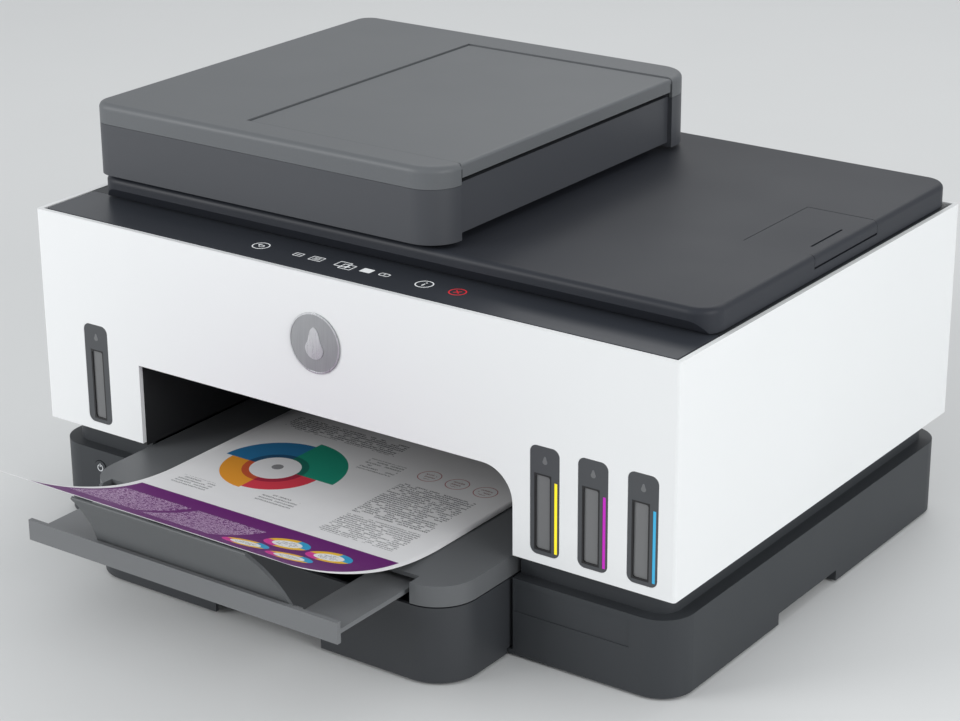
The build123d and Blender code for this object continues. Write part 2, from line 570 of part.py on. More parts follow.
# --- Trays --------------------------------------------------------------------------------------
with BuildPart() as input_tray:
    tray_layer(0, INPUT_TRAY_BACK, 5, INPUT_TRAY_TOP)
    tray_layer(TRAY_WALL, INPUT_TRAY_BACK + 5, 5 + TRAY_WALL, INPUT_TRAY_TOP + 1, mode=Mode.SUBTRACT)
    tray_layer(0, 0, FOOT, 6)
    tray_layer(TRAY_WALL, 1, FOOT - 1, 5, mode=Mode.SUBTRACT)
    # finger scoop under the front edge
    slab(-49.4, 32.4, TRAY_FRONT + 1, -36, 5, 11)
    cut(-47, 30, TRAY_FRONT - 1, -38.4, 0, 8.6)
    # ears that carry the output tray
    for side, edge in ((1, TRAY_LEFT), (-1, TRAY_RIGHT)):
        block = sorted((edge + side * 0.4, edge + side * 6.0))
        ear = sorted((edge + side * 3.6, edge + side * 6.0))
        slab(block[0], block[1], 176, 188, 40, INPUT_TRAY_TOP)
        slab(ear[0], ear[1], 177, 187, 40, 54.6)
        rod_x(ear[0] - 1, ear[1] + 1, TRAY_HINGE, 2 + PIN_GAP, mode=Mode.SUBTRACT)
finish(input_tray.part, "input_tray")

for name, fence, foot in (("width_guide_left", -114.0, 1), ("width_guide_right", 85.2, -1)):
    with BuildPart() as width_guide:
        wall = sorted((fence, fence - foot * 2.2))
        sole = sorted((fence - foot * 2.2, fence + foot * 26))
        slab(wall[0], wall[1], 40, 190, 7.8, 38)
        slab(sole[0], sole[1], 90, 130, 7.8, 10)
    finish(width_guide.part, name)

with BuildPart() as output_tray:
    tray_layer(0, OUTPUT_TRAY_BACK, *OUTPUT_TRAY_Z)
    tray_layer(TRAY_WALL, OUTPUT_TRAY_BACK + 1, OUTPUT_TRAY_Z[0] - 1, OUTPUT_TRAY_Z[1] - TRAY_WALL,
               mode=Mode.SUBTRACT)
    # rails for the extender
    for x, side in ((SLOT[0], 1), (SLOT[1], -1)):
        rib = sorted((x, x - side * 2.4))
        lip = sorted((x - side * 2.4, x + side * 7))
        slab(rib[0], rib[1], TRAY_FRONT + 1.5, 170, 48.6, OUTPUT_TRAY_Z[1] - 1)
        slab(lip[0], lip[1], -44, 170, 48.6, 50.4)
    cut(SLOT[0], SLOT[1], TRAY_FRONT - 1, -44, 40, 62)
    for side, edge in ((1, TRAY_LEFT), (-1, TRAY_RIGHT)):
        pin = sorted((edge + side * 1.0, edge + side * 5.8))
        rod_x(pin[0], pin[1], TRAY_HINGE, 2)
finish(output_tray.part, "output_tray")

with BuildPart() as output_extender:
    slab(SLOT[0] + 4, SLOT[1] - 4, EXTENDER_FRONT + 2.8, 60, 50.9, 53.5)
    slab(SLOT[0] + 1.4, SLOT[1] - 1.4, EXTENDER_FRONT, EXTENDER_FRONT + 2.8, 47.6, 60)
    # pocket that the folded stop drops into, with a pivot ear at each end
    cut(STOP_X[0] - 3, STOP_X[1] + 3, -109, -45, 49, 55)
    for x0, x1 in ((STOP_X[0] - 4.6, STOP_X[0] - 0.6), (STOP_X[1] + 0.6, STOP_X[1] + 4.6)):
        slab(x0, x1, EXTENDER_FRONT + 2, STOP_HINGE[0] + 3, 50.9, STOP_HINGE[1] + 1.2)
        rod_x(x0, x1, STOP_HINGE, 2.4)
        rod_x(x0 - 1, x1 + 1, STOP_HINGE, 1.2 + PIN_GAP, mode=Mode.SUBTRACT)
finish(output_extender.part, "output_extender")

with BuildPart() as paper_stop:
    root = (FRONT + STOP_HINGE[0], STOP_HINGE[1] + 1)
    tip = (FRONT + STOP_TIP[0], STOP_TIP[1])
    middle = ((root[0] + tip[0]) / 2 + 1.8, (root[1] + tip[1]) / 2 + 1.2)
    with BuildSketch(side_plane(STOP_X[0])):
        with BuildLine():
            skin = ThreePointArc(root, middle, tip)
            offset(skin, amount=1.0, kind=Kind.ARC)
        make_face()
    extrude(amount=STOP_X[1] - STOP_X[0])
    # the sides draw in towards the free edge
    with BuildSketch(front_plane(-60)):
        for side, x in ((-1, STOP_X[0]), (1, STOP_X[1])):
            with BuildLine():
                Polyline((x, 58), (x - side * 9, 104), (x + side * 4, 104), (x + side * 4, 58), close=True)
            make_face()
    extrude(amount=100, mode=Mode.SUBTRACT)
    rod_x(STOP_X[0], STOP_X[1], STOP_HINGE, 2.2)
    rod_x(STOP_X[0] - 4, STOP_X[1] + 4, STOP_HINGE, 1.2)
finish(paper_stop.part, "paper_stop")

# One printed sheet lying in the tray: flat at the back, bent up over the tray's front edge, and
# then curling more gently to rest on the stop
with BuildPart() as printed_sheet:
    bend_y = FRONT + SHEET_BEND_START
    bend_radius, bend_angle = SHEET_BEND[0], math.radians(SHEET_BEND[1])
    bend_end = bend_y - bend_radius * math.sin(bend_angle)
    curl_y = bend_end + SHEET_CURL_RADIUS * math.sin(bend_angle)
    curl_angle = math.asin((curl_y - FRONT + REACH) / SHEET_CURL_RADIUS)
    flat_length = SHEET_LENGTH - bend_radius * bend_angle - SHEET_CURL_RADIUS * (curl_angle - bend_angle)
    bend_centre = (bend_y, SHEET_Z + bend_radius)
    curl_centre = (curl_y, SHEET_Z + bend_radius + (SHEET_CURL_RADIUS - bend_radius) * math.cos(bend_angle))
    start, middle, end = (270 - math.degrees(a) for a in (0.0, bend_angle, curl_angle))
    with BuildSketch(side_plane(SHEET_X[0])):
        with BuildLine():
            faces = []
            for rise in (0.0, SHEET_THICKNESS):
                bend = CenterArc(bend_centre, bend_radius - rise, start, middle - start)
                curl = CenterArc(curl_centre, SHEET_CURL_RADIUS - rise, middle, end - middle)
                flat = Line(bend @ 0, (bend_y + flat_length, SHEET_Z + rise))
                faces.append((flat @ 1, curl @ 1))
            Line(faces[0][0], faces[1][0])
            Line(faces[0][1], faces[1][1])
        make_face()
    extrude(amount=SHEET_X[1] - SHEET_X[0])
finish(printed_sheet.part, "printed_sheet")

# --- Scanner unit: hinged at the back, with the touch strip in front of the lid ----------------
with BuildPart() as scanner_housing:
    slab(-SCANNER_HALF, SCANNER_HALF, SCANNER_D[0], SCANNER_D[1], SCANNER_Z[0], SCANNER_Z[1])
    cut(-SCANNER_HALF + WALL, SCANNER_HALF - WALL, SCANNER_D[0] + WALL, SCANNER_D[1] - WALL,
        SCANNER_Z[0] + 2.4, SCANNER_Z[1] - 2.4)
    slab(-SCANNER_HALF, SCANNER_HALF, 46.0, SCANNER_D[1] - 3, SCANNER_Z[1] - 1, 196.8)
    cut(GLASS_X[0], GLASS_X[1], GLASS_D[0], GLASS_D[1], SCANNER_Z[1] - 3, 197)
    slab(GLASS_X[0], GLASS_X[1] + 20, 156, 162, SCANNER_Z[0] + 2, SCANNER_Z[0] + 4)
    for x in (-139, 119):
        slab(x, x + 20, SCANNER_D[1] - 1, SCANNER_HINGE[0], 191.6, 194.4)
        rod_x(x, x + 20, SCANNER_HINGE, 2.0)
    for x in (-160, 140):
        rod_x(x - 1 if x > 0 else x, x + 20 if x > 0 else x + 21, SCANNER_HINGE, 1.2)
    # knuckles of the lid hinge
    for x in (-100, 80):
        slab(x, x + 20, SCANNER_D[1] - 2, LID_HINGE[0], SCANNER_Z[1] - 1, LID_HINGE[1])
        rod_x(x, x + 20, LID_HINGE, 2.2)
        rod_x(x - 1, x + 21, LID_HINGE, 1.2 + PIN_GAP, mode=Mode.SUBTRACT)
finish(scanner_housing.part, "scanner_housing")

with BuildPart() as scanner_glass:
    slab(GLASS_X[0] - 4, GLASS_X[1] + 4, GLASS_D[0] - 4, GLASS_D[1] + 4, SCANNER_Z[1] - 4.8, SCANNER_Z[1] - 2.4)
finish(scanner_glass.part, "scanner_glass")

with BuildPart() as scan_head:
    slab(-182, -162, 52, 266, 181.4, 189.2, radius=1)
    cut(-176, -168, 56, 262, 187.8, 190)
    cut(-183, -161, 155.4, 162.6, 181, 181.8)
finish(scan_head.part, "scan_head")

with BuildPart() as control_panel:
    slab(-220.4, 220.4, 4.6, 45.6, SCANNER_Z[1], 196.8, radius=1)
finish(control_panel.part, "control_panel")

# --- Lid ---------------------------------------------------------------------------------------
with BuildPart() as lid_shell:
    slab(*LID_X, LID_D[0], LID_D[1], LID_BOTTOM, LID_TOP, radius=14)
    fillet(lid_shell.edges().group_by(Axis.Z)[-1], radius=3.5)
    # the front tucks in towards its lower edge
    with BuildSketch(side_plane(LID_X[0] - 1)):
        with BuildLine():
            Polyline((FRONT + LID_D[0] - 1, 204.5), (FRONT + LID_D[0], 204.5), (FRONT + LID_D[0] + 5, LID_BOTTOM),
                     (FRONT + LID_D[0] + 5, LID_BOTTOM - 1), (FRONT + LID_D[0] - 1, LID_BOTTOM - 1), close=True)
        make_face()
    extrude(amount=LID_X[1] - LID_X[0] + 2, mode=Mode.SUBTRACT)
    cut(LID_X[0] + 5, LID_X[1] - 5, LID_D[0] + 8, LID_D[1] - 3, LID_BOTTOM - 1, LID_TOP - 2.4, radius=7)
    # shelf and slot for the slide-out support
    slab(SLIDE_OUT_X - 2, LID_X[1] - 4, SLIDE_OUT_D[0] - 2, SLIDE_OUT_D[1] + 2, 200.8, LID_TOP - 1.4)
    cut(SLIDE_OUT_X, LID_X[1] + 1, SLIDE_OUT_D[0], SLIDE_OUT_D[1], 203.2, LID_TOP + 1)
    for x in (-100, 80):
        cut(x - 0.4, x + 20.4, LID_D[1] - 4, LID_D[1] + 1, LID_BOTTOM - 1, LID_HINGE[1] + 3)
    for x in (-79.4, 59.4):
        rod_x(x, x + 20, LID_HINGE, 2.2)
    rod_x(-99, -60, LID_HINGE, 1.2)
    rod_x(60, 99, LID_HINGE, 1.2)
finish(lid_shell.part, "lid_shell")

with BuildPart() as lid_slide_out:
    slab(SLIDE_OUT_X + 0.3, LID_X[1], SLIDE_OUT_D[0] + 0.3, SLIDE_OUT_D[1] - 0.3, 204.4, LID_TOP - 0.1)
    fillet(lid_slide_out.edges().group_by(Axis.X)[-1].group_by(Axis.Z)[-1], radius=3.2)
    cut(LID_X[1] - 9.6, LID_X[1] - 8.2, SLIDE_OUT_D[0] + 12, SLIDE_OUT_D[1] - 26, LID_TOP - 0.9, LID_TOP + 1)
finish(lid_slide_out.part, "lid_slide_out")

with BuildPart() as lid_pad:
    slab(GLASS_X[0] + 2.5, GLASS_X[1] - 2.5, GLASS_D[0] + 2.5, GLASS_D[1] - 2.5, SCANNER_Z[1] - 2, LID_TOP - 2.4)
finish(lid_pad.part, "lid_pad")

# --- Sheet feeder on the lid --------------------------------------------------------------------
with BuildPart() as feeder_body:
    feeder_layer(0, FEEDER_BOTTOM, FEEDER_SPLIT - 0.2)
    feeder_layer(WALL, FEEDER_BOTTOM + 2.5, FEEDER_SPLIT, mode=Mode.SUBTRACT)
    slab(FEEDER_X[0] + 20, FEEDER_X[1] - 20, FEEDER_D[0] + 20, FEEDER_D[1] - 20, LID_TOP, FEEDER_BOTTOM)
    # open right end between two inner walls, closed by a set-back panel and covered by the paper bed
    cut(39, FEEDER_X[1] + 1, FLAP_D[0] - 0.4, FLAP_D[1] + 0.4, FEEDER_BOTTOM + 2.5, FEEDER_SPLIT)
    cut(43, FEEDER_X[1] + 1, FLAP_D[0] - 0.4, FLAP_D[1] + 0.4, FEEDER_BOTTOM - 1, FEEDER_BOTTOM + 3)
    for d in (FLAP_D[0] - 3, FLAP_D[1] + 0.4):
        slab(-100, 49, d, d + WALL, FEEDER_BOTTOM + 1, FEEDER_SPLIT - 0.2)
        slab(FLAP_HINGE[0] - 2.8, FLAP_HINGE[0] + 2.8, d, d + WALL, 244, 255.4)
        rod_y(d - 1, d + WALL + 1, FLAP_HINGE, 1.2 + PIN_GAP, mode=Mode.SUBTRACT)
    slab(45.5, 48.5, FLAP_D[0] - 1, FLAP_D[1] + 1, 217, 246.2)
    slab(-100, 46, FLAP_D[0] - 1, FLAP_D[1] + 1, 237.6, 240)
    slab(-102.6, -100, FLAP_D[0] - 1, FLAP_D[1] + 1, FEEDER_BOTTOM + 2, 240)
    # cover hinge: knuckles on the left side, and room for the cover's own
    for d in (70, 244):
        rod_y(d - 0.4, d + 12.4, COVER_HINGE, 2.3, mode=Mode.SUBTRACT)
    for d in (83, 235):
        rod_y(d, d + 8, COVER_HINGE, 1.9)
        rod_y(d - 1, d + 9, COVER_HINGE, 0.9 + PIN_GAP, mode=Mode.SUBTRACT)
    # bearings of the pick roller
    for d in (150, 182):
        slab(-140, -120, d, d + 3, FEEDER_BOTTOM + 2, 243)
        rod_y(d - 1, d + 4, (-130, 234), 2.5 + PIN_GAP, mode=Mode.SUBTRACT)
finish(feeder_body.part, "feeder_body")

with BuildPart() as feeder_cover:
    feeder_layer(0, FEEDER_SPLIT, HEIGHT)
    fillet(feeder_cover.edges().group_by(Axis.Z)[-1], radius=3.6)
    feeder_layer(WALL, FEEDER_SPLIT - 1, HEIGHT - WALL, mode=Mode.SUBTRACT)
    cut(FEEDER_COVER_EDGE, FEEDER_X[1] + 1, FLAP_D[0] - 0.4, FLAP_D[1] + 0.4, FEEDER_SPLIT - 1, HEIGHT + 1)
    cut(FLAP_HINGE[0] - 4, FLAP_HINGE[0] + 3.4, FLAP_D[0] - 3.5, FLAP_D[1] + 3.5, FEEDER_SPLIT - 1, 256)
    for d in (83, 235):
        rod_y(d - 0.4, d + 8.4, COVER_HINGE, 2.3, mode=Mode.SUBTRACT)
    for d in (70, 244):
        rod_y(d, d + 12, COVER_HINGE, 1.9)
    for d0, d1 in ((81, 90.6), (235.4, 245)):
        rod_y(d0, d1, COVER_HINGE, 0.9)
finish(feeder_cover.part, "feeder_cover")

with BuildPart() as feeder_flap:
    slab(FEEDER_COVER_EDGE + 0.4, 51, FLAP_D[0], FLAP_D[1], 254.6, 257.8)
    fillet(feeder_flap.edges().group_by(Axis.Z)[-1], radius=1.8)
    slab(48.4, 51, FLAP_D[0] + 1, FLAP_D[1] - 1, 249.6, 255.6)
    rod_y(FLAP_D[0] + 0.2, FLAP_D[1] - 0.2, FLAP_HINGE, 2.2)
    rod_y(FLAP_D[0] - 2.4, FLAP_D[1] + 2.4, FLAP_HINGE, 1.2)
    for d in (64, 130, 200, 258):
        slab(FLAP_HINGE[0] - 1.5, FLAP_HINGE[0] + 1.5, d, d + 4, FLAP_HINGE[1], 255)
finish(feeder_flap.part, "feeder_flap")

for name, fence, foot in (("feeder_guide_front", 60.0, 1), ("feeder_guide_back", 266.0, -1)):
    with BuildPart() as feeder_guide:
        wall = sorted((fence, fence - foot * 2.0))
        sole = sorted((fence - foot * 2.0, fence + foot * 22))
        slab(-70, 20, wall[0], wall[1], 240.3, 252)
        slab(-50, 0, sole[0], sole[1], 240.3, 242)
    finish(feeder_guide.part, name)

with BuildPart() as feeder_roller:
    rod_y(153.8, 181.2, (-130, 234), 10)
    rod_y(149, 186, (-130, 234), 2.5)
finish(feeder_roller.part, "feeder_roller")
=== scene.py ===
import math

import bmesh
import bpy
from mathutils import Matrix, Vector


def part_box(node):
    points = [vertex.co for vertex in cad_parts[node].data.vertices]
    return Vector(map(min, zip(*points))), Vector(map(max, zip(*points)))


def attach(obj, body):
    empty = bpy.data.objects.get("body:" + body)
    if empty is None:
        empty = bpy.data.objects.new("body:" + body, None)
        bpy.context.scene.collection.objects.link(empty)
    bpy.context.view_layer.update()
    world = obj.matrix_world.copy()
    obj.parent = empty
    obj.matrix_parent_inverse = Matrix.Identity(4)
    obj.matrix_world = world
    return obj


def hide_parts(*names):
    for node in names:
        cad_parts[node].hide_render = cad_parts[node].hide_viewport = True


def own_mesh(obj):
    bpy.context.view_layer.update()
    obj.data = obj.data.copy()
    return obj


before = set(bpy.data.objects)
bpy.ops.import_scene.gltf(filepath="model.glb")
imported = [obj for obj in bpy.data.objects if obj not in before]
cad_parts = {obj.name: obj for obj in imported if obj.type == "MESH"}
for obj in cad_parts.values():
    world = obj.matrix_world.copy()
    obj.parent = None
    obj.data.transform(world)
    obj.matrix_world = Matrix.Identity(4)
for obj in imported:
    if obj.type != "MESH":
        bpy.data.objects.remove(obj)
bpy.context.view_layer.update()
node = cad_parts
FRONT = -0.08585                     # y of the white front panel

# --- White shell -------------------------------------------------------------------------------
# One injection-moulded cover in near-white plastic, clipped down over the base. Its faces are
# plain, with a fine satin grain from the mould, and turn at crisp edges.


def add_node(tree, kind, inputs=None, **settings):
    """New shader node; an input is a plain value, or a socket to link."""
    made = tree.nodes.new("ShaderNode" + kind)
    for key, value in settings.items():
        setattr(made, key, value)
    for key, value in (inputs or {}).items():
        if isinstance(value, bpy.types.NodeSocket):
            tree.links.new(value, made.inputs[key])
        else:
            made.inputs[key].default_value = value
    return made


def moulded(name, colour, roughness, drift=0.04, grain=2200.0, depth=0.00003, gloss_drift=0.04,
            specular=0.5):
    """Moulded plastic: slow drift in tone and gloss, and the spark-eroded grain of the tool."""
    material = bpy.data.materials.new(name)
    material.use_nodes = True
    tree = material.node_tree
    shader = tree.nodes["Principled BSDF"]
    at = add_node(tree, "TexCoord").outputs["Object"]
    slow = add_node(tree, "TexNoise", {"Vector": at, "Scale": 9.0, "Detail": 3.0}).outputs[0]
    fine = add_node(tree, "TexNoise", {"Vector": at, "Scale": grain, "Detail": 2.0}).outputs[0]
    low = [c * (1 - drift) for c in colour] + [1.0]
    high = [min(c * (1 + drift), 1.0) for c in colour] + [1.0]
    tone = add_node(tree, "Mix", {0: slow, 6: low, 7: high}, data_type="RGBA")
    gloss = add_node(tree, "MapRange", {"Value": slow, "From Min": 0.3, "From Max": 0.7,
                                        "To Min": roughness - gloss_drift, "To Max": roughness + gloss_drift})
    bump = add_node(tree, "Bump", {"Height": fine, "Distance": depth, "Strength": 1.0})
    tree.links.new(tone.outputs[2], shader.inputs["Base Color"])
    tree.links.new(gloss.outputs[0], shader.inputs["Roughness"])
    tree.links.new(bump.outputs[0], shader.inputs["Normal"])
    shader.inputs["Specular IOR Level"].default_value = specular
    return material


def coat(material, *names):
    """Give these CAD nodes one material."""
    for name in names:
        mesh = node[name].data
        mesh.materials.clear()
        mesh.materials.append(material)


coat(moulded("shell_white", (0.83, 0.845, 0.85), 0.42, drift=0.012, depth=0.000015), "white_shell")

# --- Dark housings -----------------------------------------------------------------------------
# Base, scanner frame, lid, feeder body and rear are moulded in charcoal plastic with a matt grain
# that takes a soft sheen. Feet are black rubber buttons pressed into the floor.
charcoal = moulded("charcoal_plastic", (0.036, 0.040, 0.045), 0.50, drift=0.05, specular=0.4)
coat(charcoal, "base_housing", "rear_panel", "rear_door", "scanner_housing", "power_button")
lid_plastic = moulded("lid_plastic", (0.027, 0.030, 0.038), 0.46, drift=0.05, specular=0.25)
coat(lid_plastic, "lid_shell", "lid_slide_out")
coat(moulded("feeder_plastic", (0.054, 0.058, 0.067), 0.46, drift=0.05), "feeder_body")
coat(moulded("foot_rubber", (0.018, 0.018, 0.019), 0.78, drift=0.15, grain=900.0, depth=0.00008),
     "rubber_feet")

# --- Feeder cover and paper bed flap -----------------------------------------------------------
# The hinged cover over the feed rollers and the flap over the paper bed are moulded in a lighter
# grey than the body under them, with the same grain.
cover_grey = moulded("cover_grey", (0.128, 0.136, 0.144), 0.44, drift=0.04, specular=0.3)
coat(cover_grey, "feeder_cover", "feeder_flap")
inner_black = moulded("inner_black", (0.016, 0.017, 0.019), 0.55, drift=0.12, grain=1500.0)
coat(inner_black, "feeder_guide_front", "feeder_guide_back")

# --- Trays -------------------------------------------------------------------------------------
# The input tray is a charcoal drawer. The output tray is its grey lid, with a grey extender bar
# and a curved stop that pivots up from the bar.
coat(moulded("tray_charcoal", (0.034, 0.037, 0.042), 0.48, drift=0.05), "input_tray")
coat(moulded("tray_grey", (0.118, 0.124, 0.130), 0.45, drift=0.04), "output_tray")
coat(moulded("extender_grey", (0.165, 0.171, 0.178), 0.45, drift=0.04), "output_extender")
coat(moulded("stop_grey", (0.110, 0.116, 0.121), 0.47, drift=0.04), "paper_stop")
coat(moulded("guide_grey", (0.16, 0.165, 0.17), 0.45), "width_guide_left", "width_guide_right")

# --- Inside of the printer ---------------------------------------------------------------------
# Black moulded chutes and mechanism, zinc-plated steel side frames and rail, natural acetal
# gears, rubber rollers and belt, and a green circuit board.
coat(inner_black, "bay_liner", "platen", "rear_paper_guide", "pick_arm", "service_station",
     "power_supply", "scan_head")
coat(moulded("carriage_black", (0.022, 0.023, 0.025), 0.42, drift=0.10), "carriage")
coat(moulded("printhead_case", (0.055, 0.058, 0.064), 0.38, drift=0.08), "printheads")
coat(moulded("latch_grey", (0.24, 0.25, 0.26), 0.40), "carriage_latch")
coat(moulded("roller_rubber", (0.022, 0.022, 0.023), 0.72, drift=0.20, grain=1400.0, depth=0.00010),
     "feed_roller", "pick_roller", "feeder_roller")
coat(moulded("acetal", (0.74, 0.73, 0.68), 0.34, drift=0.03, depth=0.00001),
     "feed_gear", "idler_gear", "exit_roller", "motor_pinion", "motor_pulley", "idler_pulley")


def sheet_metal(name, colour, roughness, along):
    """Rolled steel: fine streaks along the rolling direction, stretched by a scaled pattern."""
    material = bpy.data.materials.new(name)
    material.use_nodes = True
    tree = material.node_tree
    shader = tree.nodes["Principled BSDF"]
    at = add_node(tree, "TexCoord").outputs["Object"]
    scaled = add_node(tree, "Mapping", {"Vector": at, "Scale": along}).outputs[0]
    streak = add_node(tree, "TexNoise", {"Vector": scaled, "Scale": 1.0, "Detail": 4.0}).outputs[0]
    tone = add_node(tree, "Mix", {0: streak, 6: [c * 0.82 for c in colour] + [1.0],
                                  7: [c * 1.12 for c in colour] + [1.0]}, data_type="RGBA")
    gloss = add_node(tree, "MapRange", {"Value": streak, "To Min": roughness - 0.12,
                                        "To Max": roughness + 0.12})
    bump = add_node(tree, "Bump", {"Height": streak, "Distance": 0.00001})
    tree.links.new(tone.outputs[2], shader.inputs["Base Color"])
    tree.links.new(gloss.outputs[0], shader.inputs["Roughness"])
    tree.links.new(bump.outputs[0], shader.inputs["Normal"])
    shader.inputs["Metallic"].default_value = 1.0
    return material


coat(sheet_metal("plated_steel", (0.56, 0.57, 0.59), 0.36, (40.0, 40.0, 2600.0)),
     "side_frames", "carriage_rail")
coat(sheet_metal("motor_case", (0.36, 0.37, 0.39), 0.34, (60.0, 2400.0, 60.0)),
     "feed_motor", "carriage_motor")
coat(sheet_metal("screw_steel", (0.42, 0.43, 0.45), 0.32, (900.0, 60.0, 900.0)), "screws")

# The belt is black neoprene with a 2 mm tooth pitch
belt = moulded("belt_rubber", (0.020, 0.020, 0.021), 0.66, drift=0.10, grain=1800.0)
tree = belt.node_tree
at = add_node(tree, "TexCoord").outputs["Object"]
teeth = add_node(tree, "TexWave", {"Vector": at, "Scale": 79.6, "Distortion": 0.0}, bands_direction="X")
rib = add_node(tree, "Bump", {"Height": teeth.outputs["Fac"], "Distance": 0.0004, "Strength": 1.0})
tree.links.new(rib.outputs[0], tree.nodes["Principled BSDF"].inputs["Normal"])
coat(belt, "carriage_belt")

# Circuit board: green solder mask over copper tracks that show as paler lines
board = moulded("solder_mask", (0.012, 0.115, 0.045), 0.30, drift=0.10, depth=0.00001)
tree = board.node_tree
shader = tree.nodes["Principled BSDF"]
at = add_node(tree, "TexCoord").outputs["Object"]
cells = add_node(tree, "TexBrick", {"Vector": at, "Scale": 1.0, "Mortar Size": 0.0004, "Brick Width": 0.011,
                                    "Row Height": 0.0035, "Color1": (0.012, 0.115, 0.045, 1),
                                    "Color2": (0.010, 0.095, 0.038, 1), "Mortar": (0.030, 0.190, 0.080, 1)})
tree.links.new(cells.outputs["Color"], shader.inputs["Base Color"])
coat(board, "mainboard")

# --- Scanner glass, lid pad and touch strip ----------------------------------------------------
# Clear float glass under a white foam-backed pad. In front of the lid runs a gloss black touch
# strip with back-lit line symbols printed under its surface.
glass = moulded("scanner_glass", (0.86, 0.91, 0.90), 0.05, drift=0.01, depth=0.000001, gloss_drift=0.015)
shader = glass.node_tree.nodes["Principled BSDF"]
shader.inputs["Transmission Weight"].default_value = 0.92
shader.inputs["IOR"].default_value = 1.5
coat(glass, "scanner_glass")
coat(moulded("pad_white", (0.80, 0.80, 0.79), 0.70, drift=0.02, grain=1200.0, depth=0.00005), "lid_pad")
coat(moulded("touch_strip", (0.040, 0.045, 0.055), 0.34, drift=0.05, depth=0.000006), "control_panel")

STRIP_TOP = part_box("control_panel")[1].z
ICON_ROW = 23.0                      # middle of the row of symbols, in mm behind the front panel
BACK_X, INFO_X, CANCEL_X = -68.3, 48.0, 70.4      # the three round keys


def strip_place(x, d, rise):
    """Point on the touch strip, rise above its face; millimetres in, metres out."""
    return Vector((x / 1000, FRONT + d / 1000, STRIP_TOP + rise / 1000))


def prism(bm, outline, low, high, place):
    """Closed plate with this outline, between two heights off the face."""
    rings = [[bm.verts.new(place(a, b, h)) for a, b in outline] for h in (low, high)]
    bm.faces.new(rings[0][::-1])
    bm.faces.new(rings[1])
    for i in range(len(outline)):
        j = (i + 1) % len(outline)
        bm.faces.new((rings[0][i], rings[0][j], rings[1][j], rings[1][i]))


def band(bm, outer, inner, low, high, place):
    """Closed frame between two outlines with the same number of points."""
    loops = [[bm.verts.new(place(a, b, h)) for a, b in line]
             for line, h in ((outer, low), (outer, high), (inner, high), (inner, low))]
    for one, two in zip(loops, loops[1:] + loops[:1]):
        for i in range(len(outer)):
            j = (i + 1) % len(outer)
            bm.faces.new((one[i], one[j], two[j], two[i]))


def round_line(x, y, radius, count=40):
    return [(x + radius * math.cos(2 * math.pi * i / count), y + radius * math.sin(2 * math.pi * i / count))
            for i in range(count)]


def box_line(x, y, width, height, radius=0.4, steps=5):
    """Rounded rectangle, anticlockwise."""
    points = []
    for corner, (sx, sy) in enumerate(((1, 1), (-1, 1), (-1, -1), (1, -1))):
        cx, cy = x + sx * (width / 2 - radius), y + sy * (height / 2 - radius)
        for i in range(steps + 1):
            turn = math.pi / 2 * (corner + i / steps)
            points.append((cx + radius * math.cos(turn), cy + radius * math.sin(turn)))
    return points


def stroke(bm, start, end, width, low, high, place):
    """Straight bar between two points."""
    (x0, y0), (x1, y1) = start, end
    length = math.hypot(x1 - x0, y1 - y0)
    nx, ny = -(y1 - y0) / length * width / 2, (x1 - x0) / length * width / 2
    outline = [(x0 - nx, y0 - ny), (x1 - nx, y1 - ny), (x1 + nx, y1 + ny), (x0 + nx, y0 + ny)]
    prism(bm, outline, low, high, place)


def finish_mesh(bm, name, material, body):
    """Turn the built shape into a piece that rides on a body."""
    bmesh.ops.remove_doubles(bm, verts=bm.verts, dist=1e-7)
    bmesh.ops.recalc_face_normals(bm, faces=bm.faces)
    mesh = bpy.data.meshes.new(name)
    bm.to_mesh(mesh)
    bm.free()
    mesh.materials.append(material)
    piece = bpy.data.objects.new(name, mesh)
    bpy.context.scene.collection.objects.link(piece)
    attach(piece, body)
    return piece


def lit_print(name, colour, strength):
    """Back-lit ink: a flat tint that glows slightly, uneven where the light guide is thinner."""
    material = moulded(name, colour, 0.35, drift=0.06, depth=0.000004)
    shader = material.node_tree.nodes["Principled BSDF"]
    shader.inputs["Emission Color"].default_value = (*colour, 1)
    shader.inputs["Emission Strength"].default_value = strength
    return material


SKIN = (0.004, 0.03)                 # heights of the printed symbols off the strip, in mm


def key_ring(bm, x, outer, inner):
    """Round outline of a key."""
    band(bm, round_line(x, ICON_ROW, outer), round_line(x, ICON_ROW, inner), *SKIN, strip_place)


def page_frame(bm, x, rise, width, height, line, corners=(0.4, 0.2)):
    """Outline of a page, its middle at x and this far behind the row."""
    y = ICON_ROW + rise
    band(bm, box_line(x, y, width, height, corners[0]),
         box_line(x, y, width - 2 * line, height - 2 * line, corners[1]), *SKIN, strip_place)


def bars(bm, x, width, *lines):
    """Straight bars, with their ends given from the middle of the symbol at x."""
    for (a0, b0), (a1, b1) in lines:
        stroke(bm, (x + a0, ICON_ROW + b0), (x + a1, ICON_ROW + b1), width, *SKIN, strip_place)


bm = bmesh.new()
for x in (BACK_X, INFO_X):
    key_ring(bm, x, 5.4, 4.7)
# back arrow
bars(bm, BACK_X, 0.6, ((-2.5, 1.0), (1.9, 1.0)), ((-2.6, 1.0), (-0.9, 2.7)), ((-2.6, 1.0), (-0.9, -0.7)),
     ((1.7, 1.2), (2.3, -1.0)), ((2.3, -1.0), (-0.3, -2.0)))
# card
page_frame(bm, -40.7, 0, 6.0, 5.0, 0.55)
bars(bm, -40.7, 0.5, ((-1.9, 0), (1.9, 0)))
# page with lines
page_frame(bm, -27.4, 0, 8.6, 6.6, 0.55)
bars(bm, -27.4, 0.5, *(((-2.4, rise), (2.4, rise)) for rise in (-1.4, 0.0, 1.4)))
